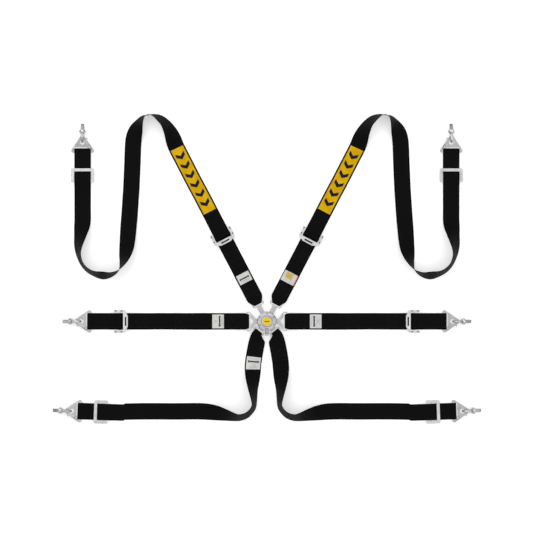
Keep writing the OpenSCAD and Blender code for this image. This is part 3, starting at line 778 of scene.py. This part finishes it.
def refined(node, material, slot_name, width, segments=3):
    """A copy of a CAD node with its flat faces rejoined and its edges rounded."""
    bm = bmesh.new()
    bm.from_mesh(NODES[node].data)
    bm.transform(NODES[node].matrix_world)
    bmesh.ops.remove_doubles(bm, verts=bm.verts, dist=1e-6)
    bmesh.ops.dissolve_limit(bm, angle_limit=math.radians(1.5), verts=bm.verts, edges=bm.edges)
    mesh = bpy.data.meshes.new(node)
    bm.to_mesh(mesh)
    bm.free()
    smooth_by_angle(mesh, 30)
    piece = new_object(f"{node}_finished", mesh, material)
    bevel = piece.modifiers.new("rounded edges", "BEVEL")
    bevel.width = width * MM
    bevel.segments = segments
    bevel.limit_method = "ANGLE"
    bevel.angle_limit = math.radians(32)
    bevel.harden_normals = True
    return stand_in(piece, node, slot_name)


def ring_piece(name, inner, outer, low, high, material, node, slot_name):
    """A raised ring on the buckle: low and high are heights."""
    cut = min(high - low, (outer - inner) / 2) * 0.3
    outline = [(low, inner), (high - cut, inner), (high, inner + cut),
               (high, outer - cut), (high - cut, outer), (low, outer)]
    mesh = lathe(name, outline, 128, 2, closed=True, angle=50)
    return add_to(new_object(name, mesh, material), node, slot_name)


def dome(name, radius, low, high, material, node, slot_name):
    """A shallow resin dome standing for a flat disc."""
    rim, n = low + 0.55, 10
    outline = [(low, radius), (rim, radius)]
    for a in (math.pi / 2 * i / n for i in range(1, n)):
        outline.append((rim + (high - rim) * math.sin(a), radius * math.cos(a) ** 0.55))
    mesh = lathe(name, outline + [(high, 0)], 96, 2, angle=40)
    return stand_in(new_object(name, mesh, material), node, slot_name)


def hexagon(r):
    """The radius of a hexagonal socket at an angle."""
    return lambda a: r / math.cos((a % (math.pi / 3)) - math.pi / 6) * 0.9


def screw_heads():
    """Button heads with a hexagon socket, on their threaded shanks."""
    screw = lathe("screw", [(3.2, 1.48), (17.4, 1.48), (17.4, 2.6), (18.3, 2.6), (18.75, 2.1),
                            (18.8, hexagon(1.45)), (17.7, hexagon(1.4))], 36, 2)
    mesh = joined("cover_screws", [moved(screw, turned(direction, "Z") @ at_mm(SCREW_AT, 0, 0))
                                   for direction in SCREW_DIRS])
    smooth_by_angle(mesh, 30)
    stand_in(new_object("cover_screw_set", mesh, KNURLED), "cover_screws", "bare_steel")


def arrow_mark(low, high):
    """A double-headed arrow across the badge."""
    right = [(4.4, -1.0), (4.4, -2.4), (8.4, 0), (4.4, 2.4), (4.4, 1.0)]
    return prism("turn_mark", right + [(-x, y) for x, y in right[::-1]], low, high, 0.12)


def buckle():
    refined("buckle_base", CAST, "cast_alloy", 0.5)
    refined("buckle_cover", CAST, "cast_alloy", 0.6)
    refined("turn_lever", LEVER, "lever_alloy", 0.45)
    for node in ("latch_spring_plate", "release_cam", "return_spring"):
        NODES[node].data.materials.clear()
        NODES[node].data.materials.append(BARE)
    screw_heads()
    ring_piece("cover_step", 19.2, 21.4, 18.9, 19.3, CAST, "buckle_cover", "cast_alloy")
    ring_piece("lever_bezel", 13.0, 14.6, 23.5, 24.1, BRIGHT, "turn_lever", "lever_alloy")
    dome("badge_dome", 12.5, 22.8, 24.0, BADGE, "center_badge", "yellow_badge")
    add_to(new_object("badge_turn_mark", arrow_mark(23.7, 24.06), BADGE_INK), "center_badge", "yellow_badge")
    # A raised wire round the slot, coloured in painted shade to darken the slot's edge.
    rim = tube("rim", rounded_loop(-4, 4, -38.5, -21.5, LEVER_TOP, 1.2), 0.7, 12)
    floor = prism("floor", rectangle(-3.9, 3.9, -38.4, -21.6), 19.6, 20.2, 0.1)
    ribs = joined("ribs", [prism("rib", rectangle(-4.6, 4.6, -y - 0.5, -y + 0.5), LEVER_TOP, 22.65, 0.2)
                           for y in (40.4, 42.2)])
    for name, mesh, material in (("slot_painted_shade_rim", rim, PAINTED_SHADE_STEEL), ("slot_floor", floor, KNURLED),
                                 ("grip_ribs", ribs, LEVER)):
        add_to(new_object(f"lever_{name}", mesh, material), "turn_lever", "lever_alloy")


def knurled_bar():
    """A diamond-knurled bar with plain ends, along Y and centred on the origin."""
    def knurl(y):
        lag = y * 2 * math.pi / 1.1
        return lambda a: 4.32 + 0.16 * math.cos(24 * a + lag) * math.cos(24 * a - lag)

    steps, half = 150, 26.5
    knurled = [-half + 0.3 + (2 * half - 0.6) * i / steps for i in range(steps + 1)]
    rows = ([(-32.0, 0), (-32.0, 2.1), (-31.6, 2.5), (-half, 2.5), (-half, 4.2)]
            + [(y, knurl(y)) for y in knurled]
            + [(half, 4.2), (half, 2.5), (31.6, 2.5), (32.0, 2.1), (32.0, 0)])
    return lathe("knurled_bar", rows, 96, 1, angle=40)


def adjusters():
    """The frames with their bars, the flange marks, which are raised beads in painted shade that stand for
    pressed slots, and the slots' raised lips.
    """
    knurled = moved(knurled_bar(), at_mm(0, 0, KNURL_Z))
    # The flange marks are raised beads coloured in painted shade: the shadow of pressed slots.
    marks = joined("marks", [tube("mark", [(s, m * w, ADJUSTER_TOP) for s in ends], 0.75, 12)
                             for m in (-1, 1) for ends in ((-8.5, -2.0), (9.5, 16.0)) for w in (31.2, 33.2)])
    lip = tube("lip", rounded_loop(-20.1, -15.1, -14.1, 14.1, ADJUSTER_TOP, 1.0), 0.5, 12)
    for name, direction, bar in (("shoulder_adjuster", SHOULDER_DIR, SHOULDER_BAR),
                                 ("lap_adjuster", LAP_DIR, LAP_BAR)):
        frame_at = placed(polar(direction, bar), direction)
        for side in SIDES:
            refined(f"{name}_{side}", BRIGHT, "plated_steel", 0.45)
        both_sides(moved(knurled, frame_at), f"{name}_knurled_bar", f"{name}_bar", "knurled_steel", KNURLED)
        both_sides(moved(marks, frame_at), f"{name}_pressed_marks", name, "plated_steel", PAINTED_SHADE_STEEL, add_to)
        both_sides(moved(lip, frame_at), f"{name}_slot_lip", name, "plated_steel", BRIGHT, add_to)


def eyebolt_mesh():
    """A forged ring with its neck, a turned collar and a threaded shank along +X."""
    def thread(x):
        return lambda a: 5.15 + 0.40 * (4 * abs((x / THREAD_PITCH - a / (2 * math.pi)) % 1 - 0.5) - 1)

    neck = lathe("neck", [(EYE_R, 0), (EYE_R, 6.3), (13.0, 6.5), (15.0, 6.9), (17.5, 6.9), (17.5, 0)])
    collar = lathe("collar", [(14, 0), (14, 6.6), (14.2, 7.2), (17.5, 9.7), (18.3, 10.2), (19, 10.3),
                              (22.2, 10.3), (23, 10.2), (23.6, 9.8), (26.2, 7.2), (26.5, 6.6), (26.5, 0)], 64)
    start, end = 27.8, 26 + SHANK_LEN
    length = end - start - 0.8
    rows = int(length / 0.16)
    threaded = [start + length * k / rows for k in range(rows + 1)]
    shank = lathe("shank", [(25.5, 0), (25.5, 4.9), (start - 0.2, 4.9)] + [(x, thread(x)) for x in threaded]
                  + [(end, 4.5), (end, 0)], 32)
    mesh = joined("eyebolt", [torus("ring", EYE_R, EYE_WIRE, 96, 32), neck, collar, shank])
    smooth_by_angle(mesh, 38)
    return mesh


def gate_spring(hand):
    """The torsion spring round the gate's rivet, with a leg to the gate and one to the plate."""
    middle = Vector((RIVET_S, RIVET_T * hand, GATE_TOP + 0.45))
    coil = [middle + Vector((*polar((90 + i * 18) * hand, 4.5), 1.0 * i / 60)) for i in range(61)]
    way = (Vector((36, 8.5 * hand, 0)) - Vector((RIVET_S, RIVET_T * hand, 0))).normalized()
    leg = [coil[-1] + (way + Vector((0, 0, -0.02))) * d for d in (3, 7, 11)]
    lead = [coil[0] + Vector((-2.2, 0.6 * hand, -0.35)) * k for k in (3, 2, 1)]
    return tube("spring", lead + coil + leg, 0.42, 10)


def hooks():
    eye = at_mm(EYE_S, 0, EYE_Z) @ turned(EYE_DROOP, "Y")
    eyebolt = eyebolt_mesh()
    cap = lathe("rivet", [(0, 0), (0, 3.6), (0.25, 3.7), (0.9, 3.1), (1.25, 1.9), (1.35, 0)], 40)
    for name, (at, direction), hand in (("shoulder", SHOULDER_HOOK, -1), ("lap", LAP_HOOK, 1),
                                        ("crotch", CROTCH_HOOK, 1)):
        plate = on_hook(at, direction)
        for side in SIDES:
            refined(f"{name}_hook_{side}", SATIN, "satin_steel", 0.5)
            refined(f"{name}_gate_{side}", SATIN, "satin_steel", 0.35)
        both_sides(moved(eyebolt, placed(at, direction) @ eye), f"{name}_forged_eyebolt", f"{name}_eyebolt",
                   "zinc_steel", ZINC)
        w0, w1 = (-26, 14) if hand > 0 else (-14, 26)
        lip = tube("lip", [(12.2, w, HOOK_T / 2 + 0.1) for w in (w0, w0 + 1, w1 - 1, w1)], 0.85, 14)
        rivet_at = at_mm(RIVET_S, RIVET_T * hand, GATE_TOP + 1.05) @ turned(-90, "Y")
        for part, mesh, material in (("hook_slot_lip", lip, BRIGHT), ("gate_spring", gate_spring(hand), BARE),
                                     ("gate_rivet_head", moved(cap, rivet_at), BRIGHT)):
            both_sides(moved(mesh, plate), f"{name}_{part}", f"{name}_hook", "satin_steel", material, add_to)


def slides_and_tongues():
    for side in SIDES:
        for name in ("shoulder_slide", "crotch_slide"):
            refined(f"{name}_{side}", BRIGHT, "plated_steel", 1.0, 4)
        for name in ("shoulder_tongue", "lap_tongue", "crotch_tongue"):
            refined(f"{name}_{side}", SATIN, "satin_steel", 0.55)


# ------------------------------------------------------------------ patch, labels and stitching
def layer(strap, direction, start, end, lift=0.0):
    """The top layer of a laid strap between two distances from the buckle, buckle end first."""
    way, runs, current = heading(direction), [], []
    for p, side, w in LAID[strap]:
        s = p.dot(way)
        if start <= s <= end and abs(p.x * way.y - p.y * way.x) < 15:
            current.append((s, p, side))
        elif current:
            runs.append(current)
            current = []
    runs = [r for r in runs + [current] if len(r) > 2]
    best = max(runs, key=lambda r: sum(p.z for s, p, side in r) / len(r))
    return [(p + Vector((0, 0, WEB_T / 2 + lift)), side, WEB_W)
            for s, p, side in sorted(best, key=lambda q: q[0])]


class Laid:
    """Places (s along, t across, height) on a stretch of strap, s from its first station."""

    def __init__(self, stations):
        self.stations = stations
        self.lengths = [0.0]
        for a, b in zip(stations, stations[1:]):
            self.lengths.append(self.lengths[-1] + (b[0] - a[0]).length)
        self.length = self.lengths[-1]

    def __call__(self, s, t, height):
        i = 1
        while i < len(self.lengths) - 1 and self.lengths[i] < s:
            i += 1
        a, b = self.stations[i - 1], self.stations[i]
        f = (s - self.lengths[i - 1]) / max(self.lengths[i] - self.lengths[i - 1], 1e-6)
        side = a[1].lerp(b[1], min(max(f, 0), 1)).normalized()
        up = (b[0] - a[0]).cross(side).normalized()
        if up.z < 0:
            up = -up
        return a[0].lerp(b[0], f) + side * t + up * height


def block(laid, s0, s1, t0, t1, low, high):
    """A thin block that follows the strap between s0 and s1 along it and t0 and t1 across it."""
    n, m = max(1, int(abs(s1 - s0) / 3)), max(1, int(abs(t1 - t0) / 6))
    bm = bmesh.new()
    grid = [[[bm.verts.new(laid(s0 + (s1 - s0) * i / n, t0 + (t1 - t0) * j / m, h) * MM)
              for h in (low, high)] for j in range(m + 1)] for i in range(n + 1)]
    for i in range(n):
        for j in range(m):
            corners = (grid[i][j], grid[i][j + 1], grid[i + 1][j + 1], grid[i + 1][j])
            bm.faces.new([c[0] for c in corners])
            bm.faces.new([c[1] for c in corners[::-1]])
    rim = ([grid[i][0] for i in range(n)] + [grid[n][j] for j in range(m)]
           + [grid[i][m] for i in range(n, 0, -1)] + [grid[0][j] for j in range(m, 0, -1)])
    for a, b in zip(rim, rim[1:] + rim[:1]):
        bm.faces.new((a[0], b[0], b[1], a[1]))
    return from_bmesh("block", bm)


def stitch_mesh(laid, rows, pitch=3.0, length=2.2, height=0.0):
    """Short raised stitches along (s, t) lines on a strap."""
    meshes = []
    for row in rows:
        for (s0, t0), (s1, t1) in zip(row, row[1:]):
            total = math.hypot(s1 - s0, t1 - t0)
            count = max(1, round(total / pitch))
            for k in range(count):
                start = (k + 0.5) / count - length / total / 2
                ends = []
                for f, h in ((0, -0.08), (0.2, 0.2), (0.8, 0.2), (1, -0.08)):
                    g = start + f * length / total
                    ends.append(laid(s0 + (s1 - s0) * g, t0 + (t1 - t0) * g, height + h))
                meshes.append(tube("stitch", ends, 0.28, 6))
    return joined("stitches", meshes)


def box_and_cross(s0, s1, t=19.0):
    box = rectangle(s0, s1, -t, t)
    return [box + box[:1], box[::2], box[3:] + box[1:2]]


def sewn_on(sheet, name, mesh, material, node, slot_name, sides=SIDES):
    """A piece on both sides, sewn to each side's sheet."""
    for side, piece in zip(sides, both_sides(mesh, name, node, slot_name, material, add_to, sides)):
        SHEETS[sheet.format(side)]["sewn"].append(piece)


def patches():
    """A woven yellow patch with navy edges and a column of navy chevrons."""
    stations = resample(layer("shoulder_strap", SHOULDER_DIR, PATCH_AT - 3, PATCH_AT + PATCH_LEN + 3,
                              0.55), 3)
    laid, inner, width = Laid(stations), stations[1:-1], PATCH_W - 0.2
    band = band_mesh("shoulder_patch", inner, 0.8, width)
    for side in SIDES:
        piece = new_object(f"shoulder_patch_{side}_cloth", mirrored(band, side), YELLOW)
        stand_in(piece, f"shoulder_patch_{side}", "yellow_patch")
        cloth_sheet(piece, width, strap_length(inner), f"shoulder_strap_{side}_webbing")

    def sewn(name, mesh, material):
        sewn_on("shoulder_patch_{}_cloth", f"patch_{name}", mesh, material, "shoulder_patch", "yellow_patch")

    length, steps, arm, rise, thick = laid.length, 6, 14.5, 11.0, 12.0
    sewn("navy_border", joined("border", [block(laid, 2.2, length - 2.2, t * 20.6, t * 22.9, 0.38, 0.62)
                                          for t in (-1, 1)]), NAVY)
    marks = []
    for s in (length * (0.09 + 0.146 * k) for k in range(6)):
        for t in (-arm, arm):
            for a, b in ((i / steps, (i + 1) / steps) for i in range(steps)):
                marks.append(sheared_block(laid, s + rise * a, s + rise * b, t * a, t * b, thick))
    sewn("navy_chevrons", joined("chevrons", marks), NAVY)
    rows = [[(s, -19.5), (s, 19.5)] for s in (6.0, length - 6.0)]
    sewn("hem_stitching", stitch_mesh(laid, rows, 2.4, 1.8, 0.42), YELLOW_THREAD)
    rows = [[(3.6, t), (length - 3.6, t)] for t in (-21.8, 21.8)]
    sewn("edge_stitching", stitch_mesh(laid, rows, 3.2, 2.3, 0.62), NAVY)


def sheared_block(laid, s0, s1, t0, t1, thick):
    """One step of a chevron's arm, thick along the strap."""
    bm = bmesh.new()
    corners = [(s0, t0), (s1, t1), (s1 + thick, t1), (s0 + thick, t0)]
    skin(bm, [[bm.verts.new(laid(s, t, h) * MM) for s, t in corners] for h in (0.38, 0.66)])
    return from_bmesh("step", bm)


def label(name, laid, sides, strap, along, across, prints):
    """A woven label laid over the strap with its printed marks, which are plain bars and lines."""
    s0, s1, half = (laid.length - along) / 2, (laid.length + along) / 2, across / 2
    base = block(laid, s0, s1, -half, half, 0.04, 0.34)
    cloth = f"{name}_label_{{}}"
    for side in sides:
        piece = new_object(cloth.format(side), mirrored(base, side), LABEL_WHITE)
        add_to(piece, f"{strap}_{side}", "webbing")
        cloth_sheet(piece, across, along, f"{strap}_{side}_webbing")
    hem = rectangle(s0 + 1.3, s1 - 1.3, -half + 1.3, half - 1.3)
    sewn_on(cloth, f"{name}_label_stitching", stitch_mesh(laid, [hem + hem[:1]], 2.2, 1.6, 0.34),
            LABEL_THREAD, strap, "webbing", sides)
    for k, (material, a0, a1, b0, b1) in enumerate(prints):
        mark = block(laid, s0 + a0 * along, s0 + a1 * along, -half + b0 * across, -half + b1 * across,
                     0.3, 0.42 + 0.01 * k)
        sewn_on(cloth, f"{name}_label_mark_{k}", mark, material, strap, "webbing", sides)


def bar_blocks(a0, a1, pieces):
    """A broken black bar across a label, between a0 and a1 of its length."""
    return [(LABEL_BLACK, a0 + da, a1 + db, b0, b1) for b0, b1, da, db in pieces]


def rule_lines(rows):
    return [(LABEL_GREY, a, a + 0.022, b0, b1) for a, b0, b1 in rows]


BAR = ((0.12, 0.24, 0, 0), (0.26, 0.60, 0.02, -0.02), (0.62, 0.74, 0.01, 0), (0.76, 0.88, 0, 0))


def labels():
    prints = (bar_blocks(0.40, 0.58, BAR)
              + rule_lines([(0.30, 0.14, 0.86), (0.22, 0.14, 0.80), (0.14, 0.14, 0.66), (0.70, 0.30, 0.72),
                            (0.78, 0.38, 0.62)]))
    label("chest_left", Laid(layer("chest_strap", SHOULDER_DIR, 132, 172)), ["left"], "chest_strap",
          31, 42, prints)
    gold = ([(LABEL_GOLD, 0.36, 0.93, 0.30, 0.82), (LABEL_RED, 0.0, 1.0, 0.0, 0.07),
             (LABEL_BLUE, 0.08, 0.9, 0.15, 0.17), (LABEL_BLUE, 0.08, 0.9, 0.21, 0.225)]
            + rule_lines([(0.10, 0.30, 0.86), (0.18, 0.30, 0.86), (0.26, 0.30, 0.80)])
            + [(LABEL_GREY, 0.40, 0.88, 0.87, 0.885)])
    gold = [(material, a0, a1, 1 - b1, 1 - b0) for material, a0, a1, b0, b1 in gold]
    label("chest_right", Laid(layer("chest_strap", SHOULDER_DIR, 132, 172)), ["right"], "chest_strap",
          34, 46, gold)
    lap = (bar_blocks(0.28, 0.45, BAR)
           + rule_lines([(0.10, 0.20, 0.80), (0.17, 0.14, 0.86), (0.55, 0.20, 0.80), (0.64, 0.40, 0.60),
                         (0.68, 0.36, 0.64), (0.72, 0.40, 0.60), (0.83, 0.24, 0.76)]))
    label("lap", Laid(layer("lap_strap", LAP_DIR, 130, 170)), SIDES, "lap_strap", 36, 43, lap)
    crotch = (bar_blocks(0.30, 0.46, BAR)
              + rule_lines([(0.12, 0.14, 0.80), (0.19, 0.20, 0.86), (0.56, 0.20, 0.80), (0.66, 0.34, 0.66),
                            (0.74, 0.14, 0.86), (0.84, 0.24, 0.70)]))
    label("crotch", Laid(crotch_label_stations()), ["left"], "crotch_strap", 39, 44, crotch)


def crotch_label_stations():
    """The crotch strap's face under its label, which bridges from the sewn end to the strap beyond it."""
    rows = LAID["crotch_strap"]
    doubled = [row for row in rows[:20] if row[0].y < -103][::-1]
    beyond = [row for row in rows if -156 < row[0].y < -141.5 and row[0].x > -46]
    spots = resample([(p + Vector((0, 0, WEB_T / 2 + 0.15)), side, w) for p, side, w in doubled + beyond], 2)
    for _ in range(6):
        spots = ([spots[0]] + [((a[0] + b[0] * 2 + c[0]) / 4, (a[1] + b[1] * 2 + c[1]).normalized(), WEB_W)
                               for a, b, c in zip(spots, spots[1:], spots[2:])] + [spots[-1]])
    return spots


def stitching():
    """Box-and-cross sewing where the straps are doubled."""
    jobs = [(name, strap, layer(strap, direction, start, end), s0, s1)
            for name, strap, direction, start, end, s0, s1 in (
                ("chest_tongue_end", "chest_strap", SHOULDER_DIR, 92, 128, 5, 31),
                ("chest_adjuster_end", "chest_strap", SHOULDER_DIR, 208, 246, 5, 33),
                ("lap_tongue_end", "lap_strap", LAP_DIR, 84, 124, 5, 36),
                ("lap_tail_end", "lap_strap", LAP_DIR, 242, 288, 6, 42),
                ("lap_adjuster_end", "lap_strap", LAP_DIR, 368, 404, 5, 31))]
    crotch_end = [(p + Vector((0, 0, WEB_T / 2)), side, w) for p, side, w in LAID["crotch_strap"][:30]
                  if p.y < -70]
    jobs.append(("crotch_tongue_end", "crotch_strap", crotch_end[::-1], 4, 36))
    for name, strap, stations, s0, s1 in jobs:
        laid = Laid(stations)
        sewn_on(strap + "_{}_webbing", f"{name}_stitching",
                stitch_mesh(laid, box_and_cross(s0, min(s1, laid.length - 2))), THREAD, strap, "webbing")


make_stage()
make_camera()
soft_light("key", (-1.6, 1.9, 2.6), (0, 0.1, 0), 2.4, 26)
soft_light("fill", (2.2, -0.6, 2.4), (0, 0.1, 0), 2.6, 14)
make_straps()
buckle()
adjusters()
hooks()
slides_and_tongues()
patches()
labels()
stitching()
